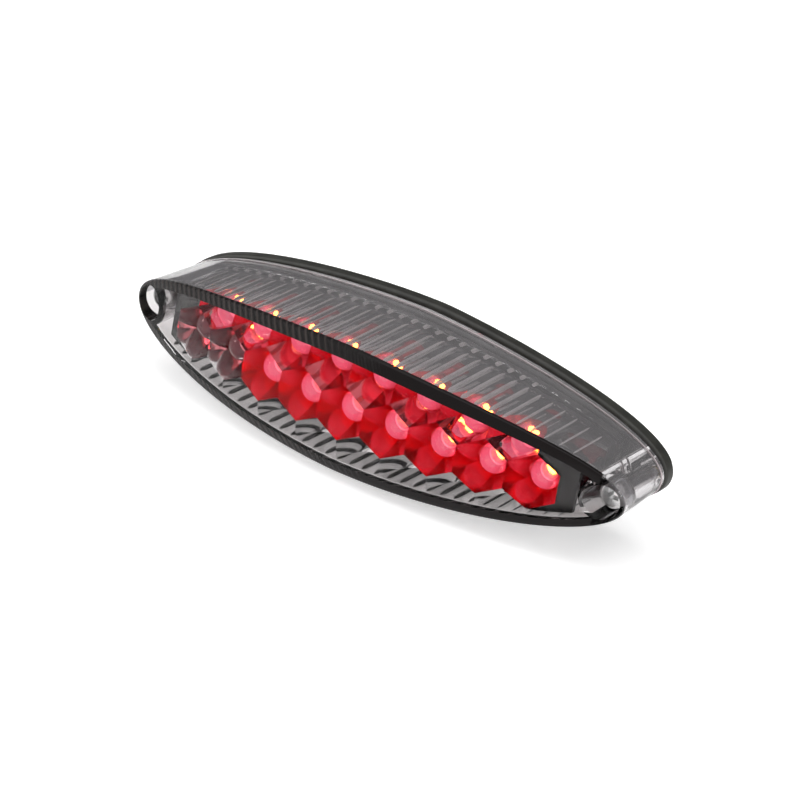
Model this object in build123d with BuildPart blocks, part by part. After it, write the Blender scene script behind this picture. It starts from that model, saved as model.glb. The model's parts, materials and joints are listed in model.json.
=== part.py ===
"""LED tail light of a motorcycle, eye-shaped, as an assembly of separate pieces.

Frame: X is the width, +Y points to the vehicle, +Z is up. The origin is the centre of the mounting face.
Every depth below is measured forward from that face, so a depth d lies at y = -d. Millimetres.
"""

from build123d import *
import math
import os

os.makedirs("parts", exist_ok=True)

# ---- Outline and overall size ----
overall_length = 94.0            # tip to tip of the lens
outline_power = 1.5645           # the outline's half-height is (1 - u ** outline_power) ** outline_root
outline_root = 0.4606            # where u runs from 0 in the middle to 1 at a tip
outline_points = 40
front_height = 21.3              # lens height at its front edge, in the middle
foot_length = 92.5
foot_height = 22.9
housing_length = 93.0
housing_height = 24.6

# ---- Depths forward of the mounting face ----
pad_front = 0.8
pad_inset = 0.5                  # the pad stays this far inside the housing's outline
housing_front = 2.9
seal_front = 3.3
lens_foot = 3.35
board_back = 4.9
board_front = 6.5
tip_depth = 17.0                 # front edge of the lens at its two tips
centre_depth = 27.5              # foremost point of the lens
edge_depth = 25.1                # front edge of the lens in the middle of its length
crown_radius = 24.5              # curvature of the face from its upper to its lower edge
sweep_radius = ((overall_length / 2) ** 2 + (centre_depth - tip_depth) ** 2) / (2 * (centre_depth - tip_depth))

# ---- Lens ----
lens_wall = 1.8
lens_face = 2.0
well_radius = 2.9
pillar_radius = 3.9
screw_x = 43.4
seat_depth = 13.0
screw_clearance = 1.45           # radius of the hole the screw passes through
washer_radius = 2.5
washer_bore = 1.35
washer_thickness = 0.4
lens_screw_radius = 1.25
lens_screw_length = 12.0
lens_screw_head_radius = 2.25
lens_screw_head_height = 1.6

# ---- Reflector and light sources ----
cell_pitch = 8.06
row_pitch = 6.95
middle_row_z = -0.6
middle_cells = 9
outer_cells = 8
cell_rim = 0.8                   # wall left between two cups
cell_overlap = 0.2
corner_relief = 0.35             # each cup's flat mouth lies this much deeper than the curve it follows
cup_depth = 7.0
reflector_floor = 2.6
reflector_gap = 0.4              # behind the lens face
reflector_side_gap = 0.35        # inside the lens wall
reflector_half_length = 38.6
leg_x = 36.8
leg_radius = 1.5
leg_screw_radius = 0.9
leg_screw_length = 8.6
leg_screw_head_radius = 1.9
leg_screw_clearance = 1.15
leg_screw_seat = 2.2
small_head_height = 1.2
led_radius = 2.5
led_flange_radius = 2.9
led_flange_thickness = 1.0
led_height = 8.6
led_recess = 2.6                 # dome tip behind the mouth of its cup
led_hole_radius = 2.6
lead_side = 0.5
lead_hole = 0.45
lead_pitch = 2.54
lead_tail = 1.0                  # how far a lead stands out of the back of the board

# ---- Housing, board and fixings ----
rim_wall = 1.2
rim_gap = 0.2
rim_front = 4.7
rim_half_length = 38.0
board_gap = 0.35
board_half_length = 38.8
board_screw_x = 28.4
board_screw_z = -4.6
board_screw_radius = 1.0
board_screw_length = 4.8
board_screw_head_radius = 1.7
board_screw_bottom = 1.6
standoff_radius = 2.0
stud_spacing = 40.0
stud_radius = 2.5
stud_length = 12.0
stud_neck_radius = 2.2           # unthreaded part inside the housing
stud_clearance = 0.2
stud_chamfer = 0.5
stud_disc_radius = 3.6
stud_disc_back = 1.2
stud_disc_front = 3.0
stud_boss_radius = 4.5
stud_boss_front = 3.7
cable_z = -4.2
cable_radius = 2.0
grommet_radius = 3.0
grommet_collar_radius = 3.8
grommet_tail = 5.0
grommet_taper = 0.5
insert_radius = 1.9
insert_back = 0.9
insert_front = 3.26
insert_bore = 1.3
part_row_z = -6.0                # resistors and diodes lie in a row under the lights


def front_depth(x, z, setback=0.0):
    """Depth of the lens face, or of a surface set back behind it, at a place on the face."""
    crown = crown_radius - math.sqrt(crown_radius**2 - z**2)
    turn = sweep_radius - crown
    return centre_depth - setback - (sweep_radius - math.sqrt(turn**2 - x**2))


def section_size(depth):
    """Length and height of the tapering lens at a depth."""
    length = foot_length + (overall_length - foot_length) * (depth - lens_foot) / (tip_depth - lens_foot)
    height = foot_height + (front_height - foot_height) * (depth - lens_foot) / (edge_depth - lens_foot)
    return length, height


def half_height(x, length, height):
    """Half-height of an eye-shaped outline at x."""
    share = min(1.0, abs(2 * x / length))
    return height / 2 * (1 - share**outline_power) ** outline_root


def eye_face(length, height, depth):
    """A flat eye-shaped face of that length and height, at that depth."""
    points = []
    for step in range(outline_points):
        angle = math.pi / 2 + 2 * math.pi * step / outline_points
        x = length / 2 * math.cos(angle)
        z = half_height(x, length, height)
        points.append((x, math.copysign(z, math.sin(angle))))
    with BuildSketch(Plane.XZ.offset(depth)) as face:
        with BuildLine():
            Spline(*points, periodic=True)
        make_face()
    return face.sketch


def lens_section(depth, inset=0.0):
    """The lens's outline at a depth, moved in by inset all round."""
    length, height = section_size(depth)
    return eye_face(length - 2 * inset, height - 2 * inset, depth)


def lens_body(back, inset, front=centre_depth + 4):
    """The tapering solid inside the lens's side wall, from one depth to another."""
    with BuildPart() as body:
        loft([lens_section(back, inset).face(), lens_section(front, inset).face()])
    return body.part


def behind_face(setback):
    """Everything behind the crowned front surface, after that is moved back by setback."""
    nose = -(centre_depth - setback)
    half = 18.0
    edge = nose + crown_radius - math.sqrt(crown_radius**2 - half**2)
    with BuildPart() as block:
        with BuildSketch(Plane.YZ):
            with BuildLine():
                ThreePointArc((edge, -half), (nose, 0), (edge, half))
                Polyline((edge, half), (10, half), (10, -half), (edge, -half))
            make_face()
        revolve(axis=Axis((0, nose + sweep_radius, 0), (0, 0, 1)))
    return block.part.rotate(Axis((0, nose + sweep_radius, 0), (0, 0, 1)), 180)


def rod(x, z, radius, back, front):
    """A round rod along Y between two depths."""
    with BuildPart() as piece:
        with BuildSketch(Plane.XZ.offset(back)):
            with Locations((x, z)):
                Circle(radius)
        extrude(amount=front - back)
    return piece.part


def middle_band(half_length, back, front):
    """A box that spans the middle of the light, to cut a shape off before the screw pillars."""
    with BuildPart() as piece:
        with BuildSketch(Plane.XZ.offset(back)):
            Rectangle(2 * half_length, 40)
        extrude(amount=front - back)
    return piece.part


# ---- Places of the cups and of the light sources ----
middle_xs = [cell_pitch * (i - (middle_cells - 1) / 2) for i in range(middle_cells)]
outer_xs = [cell_pitch * (i - (outer_cells - 1) / 2) for i in range(outer_cells)]
top_row_z = middle_row_z + row_pitch
bottom_row_z = middle_row_z - row_pitch
mouth_setback = lens_face + reflector_gap


def top_led_z(x):
    """A light source of the upper row stays clear of the lens wall, which comes down towards the tips."""
    length, height = section_size(10.5)
    room = half_height(x, length, height) - lens_wall - led_flange_radius - 0.12
    return min(top_row_z, room)


middle_leds = [(x, middle_row_z) for x in middle_xs]
top_leds = [(x, top_led_z(x)) for x in outer_xs]
cups = [(x, middle_row_z) for x in middle_xs]
cups += [(x, top_row_z) for x in outer_xs]
cups += [(x, bottom_row_z) for x in outer_xs]


def led_tip_depth(x, z):
    """Depth of the top of the dome of the light source in one cup."""
    return front_depth(x, z, mouth_setback) - led_recess


# ---- Rubber pad between the housing and the vehicle ----
with BuildPart() as mounting_pad:
    extrude(eye_face(housing_length - 2 * pad_inset, housing_height - 2 * pad_inset, 0), amount=pad_front)
    for side in (-1, 1):
        add(rod(side * stud_spacing / 2, 0, stud_radius + stud_clearance, -1, 3), mode=Mode.SUBTRACT)
    add(rod(0, cable_z, grommet_radius, -1, 3), mode=Mode.SUBTRACT)
mounting_pad.part.label = "mounting_pad"
export_step(mounting_pad.part, "parts/mounting_pad.step")

# ---- Housing: a plate with a locating rim, standoffs and bosses ----
rim_inset = lens_wall + rim_gap
with BuildPart() as base_housing:
    extrude(eye_face(housing_length, housing_height, pad_front), amount=housing_front - pad_front)
    front_edges = base_housing.faces().sort_by(Axis.Y)[0].edges()
    fillet(front_edges, radius=0.5)
    with BuildPart(mode=Mode.PRIVATE) as rim:
        add(lens_body(housing_front - 0.5, rim_inset, rim_front))
        add(lens_body(housing_front - 0.6, rim_inset + rim_wall, rim_front + 1), mode=Mode.SUBTRACT)
        add(middle_band(rim_half_length, 0, 8), mode=Mode.INTERSECT)
    add(rim.part)
    for side in (-1, 1):
        add(rod(side * leg_x, 0, standoff_radius, 2, board_back))
        add(rod(side * board_screw_x, board_screw_z, standoff_radius, 2, board_back))
        add(rod(side * stud_spacing / 2, 0, stud_boss_radius, 2, stud_boss_front))
        add(rod(side * stud_spacing / 2, 0, stud_neck_radius, 0, 3), mode=Mode.SUBTRACT)
        add(rod(side * stud_spacing / 2, 0, stud_disc_radius, stud_disc_back, stud_disc_front), mode=Mode.SUBTRACT)
        add(rod(side * screw_x, 0, insert_radius, 0, 4), mode=Mode.SUBTRACT)
        add(rod(side * leg_x, 0, leg_screw_clearance, 0, 6), mode=Mode.SUBTRACT)
        add(rod(side * leg_x, 0, leg_screw_head_radius + 0.15, 0, leg_screw_seat), mode=Mode.SUBTRACT)
        add(rod(side * board_screw_x, board_screw_z, board_screw_radius, board_screw_bottom, 6), mode=Mode.SUBTRACT)
    add(rod(0, cable_z, grommet_radius, 0, 4), mode=Mode.SUBTRACT)
base_housing.part.label = "base_housing"
export_step(base_housing.part, "parts/base_housing.step")

# ---- Rubber seal under the foot of the lens ----
with BuildPart() as lens_seal:
    add(lens_body(housing_front, 0.1, seal_front))
    add(lens_body(housing_front - 1, lens_wall, seal_front + 1), mode=Mode.SUBTRACT)
    for side in (-1, 1):
        add(rod(side * screw_x, 0, 2.1, 0, 5), mode=Mode.SUBTRACT)
lens_seal.part.label = "lens_seal"
export_step(lens_seal.part, "parts/lens_seal.step")

# ---- Lens: a clear shell with a screw well at each tip ----
with BuildPart() as lens_cover:
    add(lens_body(lens_foot, 0))
    add(behind_face(0), mode=Mode.INTERSECT)
    with BuildPart(mode=Mode.PRIVATE) as lens_room:
        add(lens_body(lens_foot - 1, lens_wall))
        add(behind_face(lens_face), mode=Mode.INTERSECT)
    add(lens_room.part, mode=Mode.SUBTRACT)
    with BuildPart(mode=Mode.PRIVATE) as pillars:
        for side in (-1, 1):
            add(rod(side * screw_x, 0, pillar_radius, lens_foot, centre_depth))
        add(lens_body(lens_foot, 0), mode=Mode.INTERSECT)
        add(behind_face(0), mode=Mode.INTERSECT)
    add(pillars.part)
    for side in (-1, 1):
        add(rod(side * screw_x, 0, well_radius, seat_depth, centre_depth), mode=Mode.SUBTRACT)
        add(rod(side * screw_x, 0, screw_clearance, 0, seat_depth + 1), mode=Mode.SUBTRACT)
lens_cover.part.label = "lens_cover"
export_step(lens_cover.part, "parts/lens_cover.step")

# ---- Reflector: three rows of six-sided cups that follow the curve of the lens ----
def facing(x, z, setback):
    """The plane that touches the set-back lens face over one cup, facing forward."""
    turn = sweep_radius - crown_radius + math.sqrt(crown_radius**2 - z**2)
    reach = math.sqrt(turn**2 - x**2)
    lean_z = turn / reach * z / math.sqrt(crown_radius**2 - z**2)
    return Plane(origin=(x, -front_depth(x, z, setback), z), z_dir=(x / reach, -1, lean_z))


def six_sided(x, z, width, back, front):
    """A six-sided prism along Y, with a flat on its left and on its right."""
    with BuildPart() as prism:
        with BuildSketch(Plane.XZ.offset(back)):
            with Locations((x, z)):
                RegularPolygon(width / 2, 6, major_radius=False, rotation=30)
        extrude(amount=front - back)
    return prism.part


with BuildPart() as reflector:
    for x, z in cups:
        floor = front_depth(x, z, mouth_setback) - cup_depth
        with BuildPart(mode=Mode.PRIVATE) as cell:
            add(six_sided(x, z, cell_pitch + cell_overlap, floor - reflector_floor, centre_depth))
            split(bisect_by=facing(x, z, mouth_setback + corner_relief), keep=Keep.BOTTOM)
        add(cell.part)
    with BuildSketch(Plane.XZ.offset(board_front)):
        inset = 2 * (lens_wall + reflector_side_gap)
        width = overall_length - inset
        height = section_size(edge_depth)[1] - inset
        steps = [reflector_half_length * (i / 12 - 1) for i in range(25)]
        upper = [(x, half_height(x, width, height)) for x in steps]
        lower = [(x, -z) for x, z in reversed(upper)]
        with BuildLine():
            Polyline(*upper, *lower, close=True)
        make_face()
    extrude(amount=centre_depth - board_front, mode=Mode.INTERSECT)
    for x, z in cups:
        floor = front_depth(x, z, mouth_setback) - cup_depth
        add(six_sided(x, z, cell_pitch - cell_rim, floor, centre_depth), mode=Mode.SUBTRACT)
    for x, z in middle_leds + top_leds:
        seat = led_tip_depth(x, z) - led_height + led_flange_thickness + 0.1
        add(rod(x, z, led_hole_radius, board_front, led_tip_depth(x, z)), mode=Mode.SUBTRACT)
        add(rod(x, z, led_flange_radius + 0.1, board_front, seat), mode=Mode.SUBTRACT)
    for side in (-1, 1):
        leg_top = front_depth(leg_x, 0, mouth_setback) - cup_depth
        add(rod(side * leg_x, 0, leg_radius, board_front, leg_top))
        add(rod(side * leg_x, 0, leg_screw_radius, board_front, leg_top), mode=Mode.SUBTRACT)
reflector.part.label = "reflector"
export_step(reflector.part, "parts/reflector.step")

# ---- Circuit board ----
board_inset = lens_wall + board_gap
with BuildPart() as circuit_board:
    add(lens_body(board_back, board_inset, board_front))
    add(middle_band(board_half_length, 0, 12), mode=Mode.INTERSECT)
    for side in (-1, 1):
        add(rod(side * leg_x, 0, leg_screw_clearance, 0, 12), mode=Mode.SUBTRACT)
        add(rod(side * board_screw_x, board_screw_z, board_screw_radius + 0.1, 0, 12), mode=Mode.SUBTRACT)
    for x, z in middle_leds + top_leds:
        for side in (-1, 1):
            add(rod(x + side * lead_pitch / 2, z, lead_hole, 0, 12), mode=Mode.SUBTRACT)
circuit_board.part.label = "circuit_board"
export_step(circuit_board.part, "parts/circuit_board.step")


# ---- Light sources: round 5 mm LEDs ----
def led(x, z):
    """A clear-domed LED with its flange, standing forward of the board."""
    tip = led_tip_depth(x, z)
    back = tip - led_height
    with BuildPart() as body:
        with BuildSketch(Plane.XY):
            with BuildLine():
                Line((0, 0), (led_flange_radius, 0))
                Line((led_flange_radius, 0), (led_flange_radius, led_flange_thickness))
                Line((led_flange_radius, led_flange_thickness), (led_radius, led_flange_thickness))
                Line((led_radius, led_flange_thickness), (led_radius, led_height - led_radius))
                RadiusArc((led_radius, led_height - led_radius), (0, led_height), -led_radius)
                Line((0, led_height), (0, 0))
            make_face()
        revolve(axis=Axis.Y)
    turned = body.part.rotate(Axis.X, 180)
    return turned.moved(Location((x, -back, z)))


led_rows = {"middle": middle_leds, "top": top_leds}
for row, places in led_rows.items():
    for number, (x, z) in enumerate(places, start=1):
        name = f"led_{row}_{number}"
        with BuildPart() as led_body:
            add(led(x, z))
        led_body.part.label = name
        export_step(led_body.part, f"parts/{name}.step")
    with BuildPart() as leads:
        for x, z in places:
            flange_back = led_tip_depth(x, z) - led_height
            with BuildSketch(Plane.XZ.offset(board_back - lead_tail)):
                with Locations((x - lead_pitch / 2, z), (x + lead_pitch / 2, z)):
                    Rectangle(lead_side, lead_side)
            extrude(amount=flange_back - board_back + lead_tail)
    leads.part.label = f"led_leads_{row}"
    export_step(leads.part, f"parts/led_leads_{row}.step")


# ---- Resistors and diodes, lying on the front of the board ----
def axial_part(x, body_length, body_radius, end_radius, span):
    """An axial component along X with its two wires bent down into the board."""
    height = board_front + end_radius + 0.1
    wire = 0.3
    with BuildPart() as piece:
        with BuildSketch(Plane.YZ.offset(x - body_length / 2)):
            with Locations((-height, part_row_z)):
                Circle(body_radius)
        extrude(amount=body_length)
        if end_radius > body_radius:
            for start in (x - body_length / 2, x + body_length / 2 - body_length / 4):
                with BuildSketch(Plane.YZ.offset(start)):
                    with Locations((-height, part_row_z)):
                        Circle(end_radius)
                extrude(amount=body_length / 4)
        with BuildSketch(Plane.YZ.offset(x - span / 2)):
            with Locations((-height, part_row_z)):
                Circle(wire)
        extrude(amount=span)
        for side in (-1, 1):
            add(rod(x + side * (span / 2 - wire), part_row_z, wire, board_front, height))
    return piece.part


resistor_xs = [-22.5, -12.0, 12.0, 22.5]
for number, x in enumerate(resistor_xs, start=1):
    with BuildPart() as resistor:
        add(axial_part(x, 5.6, 0.95, 1.12, 8.4))
    resistor.part.label = f"resistor_{number}"
    export_step(resistor.part, f"parts/resistor_{number}.step")

diode_places = {"tail_diode": -5.2, "brake_diode": 5.2}
for name, x in diode_places.items():
    with BuildPart() as diode:
        add(axial_part(x, 3.0, 0.9, 0.9, 4.6))
    diode.part.label = name
    export_step(diode.part, f"parts/{name}.step")

# ---- Solder pins where the three wires of the cable end ----
terminal_pitch = 2.0
terminal_z = -8.3
with BuildPart() as wire_terminals:
    for radius, height in ((0.8, 0.4), (0.4, 2.6)):
        for x in (-terminal_pitch, 0, terminal_pitch):
            add(rod(x, terminal_z, radius, board_front, board_front + height))
wire_terminals.part.label = "wire_terminals"
export_step(wire_terminals.part, "parts/wire_terminals.step")

# ---- Rubber grommet where the cable leaves the housing ----
with BuildPart() as cable_grommet:
    with BuildSketch(Plane.XY):
        with BuildLine():
            Polyline(
                (cable_radius, grommet_tail),
                (cable_radius, -stud_boss_front),
                (grommet_collar_radius, -stud_boss_front),
                (grommet_collar_radius, -housing_front),
                (grommet_radius, -housing_front),
                (grommet_radius, 0),
                (grommet_radius - grommet_taper, grommet_tail),
                close=True,
            )
        make_face()
    revolve(axis=Axis.Y)
cable_grommet.part.position = (0, 0, cable_z)
cable_grommet.part.label = "cable_grommet"
export_step(cable_grommet.part, "parts/cable_grommet.step")

# ---- Threaded studs moulded into the housing ----
for side, name in ((-1, "mounting_stud_left"), (1, "mounting_stud_right")):
    x = side * stud_spacing / 2
    with BuildPart() as stud:
        add(rod(x, 0, stud_disc_radius, stud_disc_back, stud_disc_front))
        add(rod(x, 0, stud_neck_radius, 0, stud_disc_front))
        add(rod(x, 0, stud_radius, -stud_length, 0))
        end_edges = stud.faces().sort_by(Axis.Y)[-1].edges()
        chamfer(end_edges, length=stud_chamfer)
    stud.part.label = name
    export_step(stud.part, f"parts/{name}.step")

# ---- Brass inserts that take the lens screws ----
with BuildPart() as screw_inserts:
    for side in (-1, 1):
        add(rod(side * screw_x, 0, insert_radius, insert_back, insert_front))
        add(rod(side * screw_x, 0, insert_bore, 0, 5), mode=Mode.SUBTRACT)
screw_inserts.part.label = "screw_inserts"
export_step(screw_inserts.part, "parts/screw_inserts.step")


# ---- Screws and washers ----
def screw(x, z, seat, way, shank, head):
    """A pan-head screw with a cross recess, its head to the front if way is 1, to the back if it is -1."""
    shank_radius, shank_length = shank
    head_radius, head_height = head
    slot_width = head_radius * 0.34
    slot_length = head_radius * 1.2
    with BuildPart() as piece:
        with BuildSketch(Plane.XY):
            Circle(head_radius)
        extrude(amount=head_height)
        fillet(piece.faces().sort_by(Axis.Z)[-1].edges(), radius=head_height * 0.42)
        with BuildSketch(Plane.XY.offset(head_height)):
            Rectangle(slot_length, slot_width)
            Rectangle(slot_width, slot_length)
        extrude(amount=-head_height * 0.6, mode=Mode.SUBTRACT)
        with BuildSketch(Plane.XY):
            Circle(shank_radius)
        extrude(amount=-shank_length)
        chamfer(piece.faces().sort_by(Axis.Z)[0].edges(), length=0.3)
    turned = piece.part.rotate(Axis.X, way * 90)
    return turned.moved(Location((x, -seat, z)))


for side, name in ((-1, "left"), (1, "right")):
    x = side * screw_x
    with BuildPart() as washer:
        add(rod(x, 0, washer_radius, seat_depth, seat_depth + washer_thickness))
        add(rod(x, 0, washer_bore, seat_depth - 1, seat_depth + 1), mode=Mode.SUBTRACT)
    washer.part.label = f"lens_washer_{name}"
    export_step(washer.part, f"parts/lens_washer_{name}.step")
    shank = (lens_screw_radius, lens_screw_length)
    head = (lens_screw_head_radius, lens_screw_head_height)
    with BuildPart() as lens_screw:
        add(screw(x, 0, seat_depth + washer_thickness, 1, shank, head))
    lens_screw.part.label = f"lens_screw_{name}"
    export_step(lens_screw.part, f"parts/lens_screw_{name}.step")

with BuildPart() as board_screws:
    shank = (board_screw_radius, board_screw_length)
    head = (board_screw_head_radius, small_head_height)
    for side in (-1, 1):
        add(screw(side * board_screw_x, board_screw_z, board_front, 1, shank, head))
board_screws.part.label = "board_screws"
export_step(board_screws.part, "parts/board_screws.step")

with BuildPart() as reflector_screws:
    shank = (leg_screw_radius, leg_screw_length)
    head = (leg_screw_head_radius, small_head_height)
    for side in (-1, 1):
        add(screw(side * leg_x, 0, leg_screw_seat, -1, shank, head))
reflector_screws.part.label = "reflector_screws"
export_step(reflector_screws.part, "parts/reflector_screws.step")
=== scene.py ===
"""Looks of the eye-shaped LED tail light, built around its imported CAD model.

Same frame as the CAD: X is the width, +Y points to the vehicle, +Z is up. Lengths below are in
millimetres and become metres when a mesh is made. A depth d is measured forward from the mounting
face, so it lies at y = -d.
"""
import json
import math

import bmesh
import bpy
import numpy as np
from mathutils import Matrix, Vector
from mathutils.kdtree import KDTree


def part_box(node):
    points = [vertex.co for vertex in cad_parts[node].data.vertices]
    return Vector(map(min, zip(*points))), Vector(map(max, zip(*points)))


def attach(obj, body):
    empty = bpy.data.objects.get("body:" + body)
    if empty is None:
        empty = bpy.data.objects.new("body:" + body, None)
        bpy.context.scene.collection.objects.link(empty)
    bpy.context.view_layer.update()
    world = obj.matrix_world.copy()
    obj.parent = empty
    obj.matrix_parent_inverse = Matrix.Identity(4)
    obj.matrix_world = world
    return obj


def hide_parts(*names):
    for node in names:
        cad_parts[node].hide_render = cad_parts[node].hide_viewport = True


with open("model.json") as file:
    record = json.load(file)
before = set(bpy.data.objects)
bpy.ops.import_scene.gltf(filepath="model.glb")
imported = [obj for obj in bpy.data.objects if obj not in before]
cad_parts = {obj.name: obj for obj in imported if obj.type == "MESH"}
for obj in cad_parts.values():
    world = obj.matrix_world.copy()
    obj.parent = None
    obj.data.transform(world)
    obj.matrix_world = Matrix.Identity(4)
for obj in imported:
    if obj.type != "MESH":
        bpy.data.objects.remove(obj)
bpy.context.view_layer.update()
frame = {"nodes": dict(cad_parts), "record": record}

MM = 0.001
body_of_node = {}
for body_name, members in frame["record"]["behaviour"]["bodies"].items():
    for member in members:
        body_of_node[member] = body_name

# ---- Proportions of the light, as in the CAD ----
OVERALL_LENGTH = 94.0
OUTLINE_POWER = 1.5645
OUTLINE_ROOT = 0.4606
FRONT_HEIGHT = 21.3
FOOT_LENGTH = 92.5
FOOT_HEIGHT = 22.9
LENS_FOOT = 3.35
TIP_DEPTH = 17.0
CENTRE_DEPTH = 27.49
EDGE_DEPTH = 25.1
CROWN_RADIUS = 24.5
SWEEP_RISE = CENTRE_DEPTH - TIP_DEPTH
SWEEP_RADIUS = ((OVERALL_LENGTH / 2) ** 2 + SWEEP_RISE**2) / (2 * SWEEP_RISE)
LENS_WALL = 1.8
LENS_FACE = 2.0
SCREW_X = 43.4
SEAT_DEPTH = 13.0
SCREW_CLEARANCE = 1.45
WELL_RADIUS = 2.9
PILLAR_RADIUS = 3.9
CELL_PITCH = 8.06
ROW_PITCH = CELL_PITCH * math.sqrt(3) / 2
MIDDLE_ROW_Z = -0.6
CUP_DEPTH = 7.0
CUP_WALL = 1.6
CUP_POWER = 2.5
CUP_REACH = CELL_PITCH / 2 * 1.08
SHELF_DROP = 0.7
SHELF_THICKNESS = 0.8
SKIRT_BACK = 6.9
SKIRT_OVERLAP = 0.9
SKIRT_WALL = 0.73
MOUTH_SETBACK = LENS_FACE + 0.45
REFLECTOR_INSET = LENS_WALL + 0.35
REFLECTOR_HALF_LENGTH = 38.6
LED_RADIUS = 2.5
LED_HOLE_RADIUS = 2.62
LED_HEIGHT = 8.6
STUD_DISC_BACK = 1.2
DIM_LEDS = ("led_middle_1", "led_middle_2")


def front_depth(x, z, setback=0.0):
    """Depth of the lens face, or of a surface set back behind it."""
    crown = CROWN_RADIUS - math.sqrt(max(CROWN_RADIUS**2 - z**2, 1.0))
    turn = SWEEP_RADIUS - crown
    return CENTRE_DEPTH - setback - (SWEEP_RADIUS - math.sqrt(turn**2 - x**2))


def section_size(depth):
    """Length and height of the tapering lens at a depth."""
    length = FOOT_LENGTH + (OVERALL_LENGTH - FOOT_LENGTH) * (depth - LENS_FOOT) / (TIP_DEPTH - LENS_FOOT)
    height = FOOT_HEIGHT + (FRONT_HEIGHT - FOOT_HEIGHT) * (depth - LENS_FOOT) / (EDGE_DEPTH - LENS_FOOT)
    return length, height


def half_height(x, length, height):
    share = min(1.0, abs(2 * x / length))
    return height / 2 * (1 - share**OUTLINE_POWER) ** OUTLINE_ROOT


# ---- Mesh helpers ----
def new_object(name, points, faces, smooth_angle=35.0, material_of_face=None):
    """A mesh object from millimetre points and index faces."""
    mesh = bpy.data.meshes.new(name)
    mesh.from_pydata([(p[0] * MM, p[1] * MM, p[2] * MM) for p in points], [], faces)
    if material_of_face is not None:
        mesh.polygons.foreach_set("material_index", material_of_face)
    return object_of(name, mesh, smooth_angle)


def object_of(name, mesh, smooth_angle=35.0):
    tidy = bmesh.new()
    tidy.from_mesh(mesh)
    bmesh.ops.remove_doubles(tidy, verts=tidy.verts, dist=2e-7)
    bmesh.ops.recalc_face_normals(tidy, faces=tidy.faces)
    tidy.to_mesh(mesh)
    tidy.free()
    mesh.shade_smooth()
    mesh.set_sharp_from_angle(angle=math.radians(smooth_angle))
    thing = bpy.data.objects.new(name, mesh)
    bpy.context.scene.collection.objects.link(thing)
    return thing


def ring_faces(rings, count):
    """Quads that join consecutive rings of equal count."""
    faces = []
    for ring in range(rings - 1):
        for i in range(count):
            j = (i + 1) % count
            a = ring * count
            b = a + count
            faces.append((a + i, a + j, b + j, b + i))
    return faces


def revolve(name, profile, origin, sides=48):
    """A round piece about an axis along Y. profile is (radius, height) pairs, height growing forward."""
    points = []
    for radius, height in profile:
        for i in range(sides):
            angle = 2 * math.pi * i / sides
            points.append((
                origin[0] + radius * math.cos(angle),
                -(origin[1] + height),
                origin[2] + radius * math.sin(angle),
            ))
    return new_object(name, points, ring_faces(len(profile), sides))


def boolean(target, tool, operation):
    """Applies one boolean and removes the tool."""
    step = target.modifiers.new("step", "BOOLEAN")
    step.operation = operation
    step.solver = "EXACT"
    step.object = tool
    bpy.context.view_layer.update()
    ready = target.evaluated_get(bpy.context.evaluated_depsgraph_get())
    mesh = bpy.data.meshes.new_from_object(ready)
    target.modifiers.clear()
    old = target.data
    target.data = mesh
    bpy.data.meshes.remove(old)
    bpy.data.objects.remove(tool)
    return target


def join(name, things):
    """One object from several, keeping their materials."""
    joined = bmesh.new()
    materials = []
    for thing in things:
        first = len(joined.faces)
        joined.from_mesh(thing.data)
        joined.faces.ensure_lookup_table()
        for face in joined.faces[first:]:
            slot = thing.data.materials[face.material_index]
            if slot not in materials:
                materials.append(slot)
            face.material_index = materials.index(slot)
    mesh = bpy.data.meshes.new(name)
    joined.to_mesh(mesh)
    joined.free()
    for material in materials:
        mesh.materials.append(material)
    for thing in things:
        bpy.data.objects.remove(thing)
    thing = bpy.data.objects.new(name, mesh)
    bpy.context.scene.collection.objects.link(thing)
    return thing


# ---- Materials ----
def material(name, colour, roughness=0.5, metallic=0.0, **sockets):
    made = bpy.data.materials.new(name)
    made.use_nodes = True
    shader = made.node_tree.nodes["Principled BSDF"]
    shader.inputs["Base Color"].default_value = (*colour, 1.0)
    shader.inputs["Roughness"].default_value = roughness
    shader.inputs["Metallic"].default_value = metallic
    for socket, value in sockets.items():
        shader.inputs[socket.replace("_", " ")].default_value = value
    return made


def noise_node(made, scale, detail=4.0):
    tree = made.node_tree
    place = tree.nodes.new("ShaderNodeTexCoord")
    noise = tree.nodes.new("ShaderNodeTexNoise")
    noise.inputs["Scale"].default_value = scale
    noise.inputs["Detail"].default_value = detail
    tree.links.new(place.outputs["Object"], noise.inputs["Vector"])
    return noise


def vary(made, dark, light, scale, socket="Base Color", detail=4.0, low=0.35, high=0.65):
    """Mottles a socket between two colours or greys."""
    tree = made.node_tree
    ramp = tree.nodes.new("ShaderNodeValToRGB")
    ramp.color_ramp.elements[0].position = low
    ramp.color_ramp.elements[1].position = high
    ramp.color_ramp.elements[0].color = (*dark, 1.0)
    ramp.color_ramp.elements[1].color = (*light, 1.0)
    tree.links.new(noise_node(made, scale, detail).outputs["Fac"], ramp.inputs["Fac"])
    tree.links.new(ramp.outputs["Color"], tree.nodes["Principled BSDF"].inputs[socket])
    return made


def bump(made, scale, strength, distance, detail=4.0):
    """A fine raised grain."""
    tree = made.node_tree
    node = tree.nodes.new("ShaderNodeBump")
    node.inputs["Strength"].default_value = strength
    node.inputs["Distance"].default_value = distance
    tree.links.new(noise_node(made, scale, detail).outputs["Fac"], node.inputs["Height"])
    tree.links.new(node.outputs["Normal"], tree.nodes["Principled BSDF"].inputs["Normal"])
    return made


def grey(value):
    return (value, value, value)


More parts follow.
